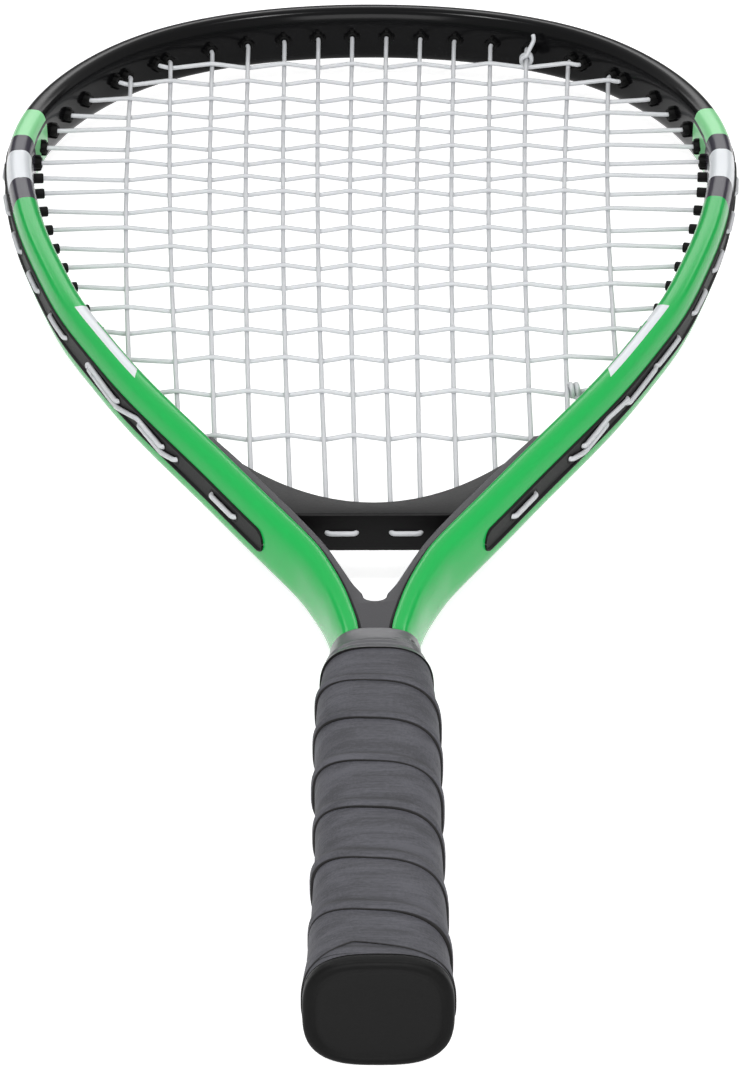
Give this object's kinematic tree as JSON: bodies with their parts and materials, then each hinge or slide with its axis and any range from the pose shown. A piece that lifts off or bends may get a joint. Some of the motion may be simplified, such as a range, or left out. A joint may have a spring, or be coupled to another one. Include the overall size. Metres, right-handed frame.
{
  "type": "crossminton racket",
  "caption": "Strung crossminton racket: an egg-shaped bent tube head, a moulded throat yoke under the string bed, and a short wound grip with a flat butt cap.",
  "frame": {"origin": "middle of the base of the racket's bounding box, with the racket lying flat", "axes": "+Y from the butt cap to the tip of the head, +Z square to the string bed, +X across the head"},
  "size_m": [0.2436, 0.5918, 0.031],
  "materials": {
    "green_painted_alloy": "glossy lacquer over a drawn aluminium tube, green with black head",
    "yoke_plastic": "moulded dark grey nylon, satin",
    "strip_plastic": "moulded black nylon",
    "string_nylon": "white nylon string, slightly glossy",
    "handle_core": "moulded core, hidden under the grip",
    "cap_plastic": "moulded black plastic",
    "staple_steel": "bright steel wire",
    "grip_synthetic": "grey grained synthetic grip strip, soft and matt",
    "tape_vinyl": "glossy grey stretched vinyl tape"
  },
  "bodies": {
    "root": {"frame_tube": "green_painted_alloy", "throat_yoke": "yoke_plastic", "head_bumper": "strip_plastic", "right_grommet_strip": "strip_plastic", "left_grommet_strip": "strip_plastic", "main_string": "string_nylon", "cross_string": "string_nylon", "front_handle_half": "handle_core", "back_handle_half": "handle_core", "butt_cap": "cap_plastic", "front_cap_staple": "staple_steel", "back_cap_staple": "staple_steel", "grip_wrap": "grip_synthetic", "finishing_tape": "tape_vinyl"}
  },
  "joints": []
}
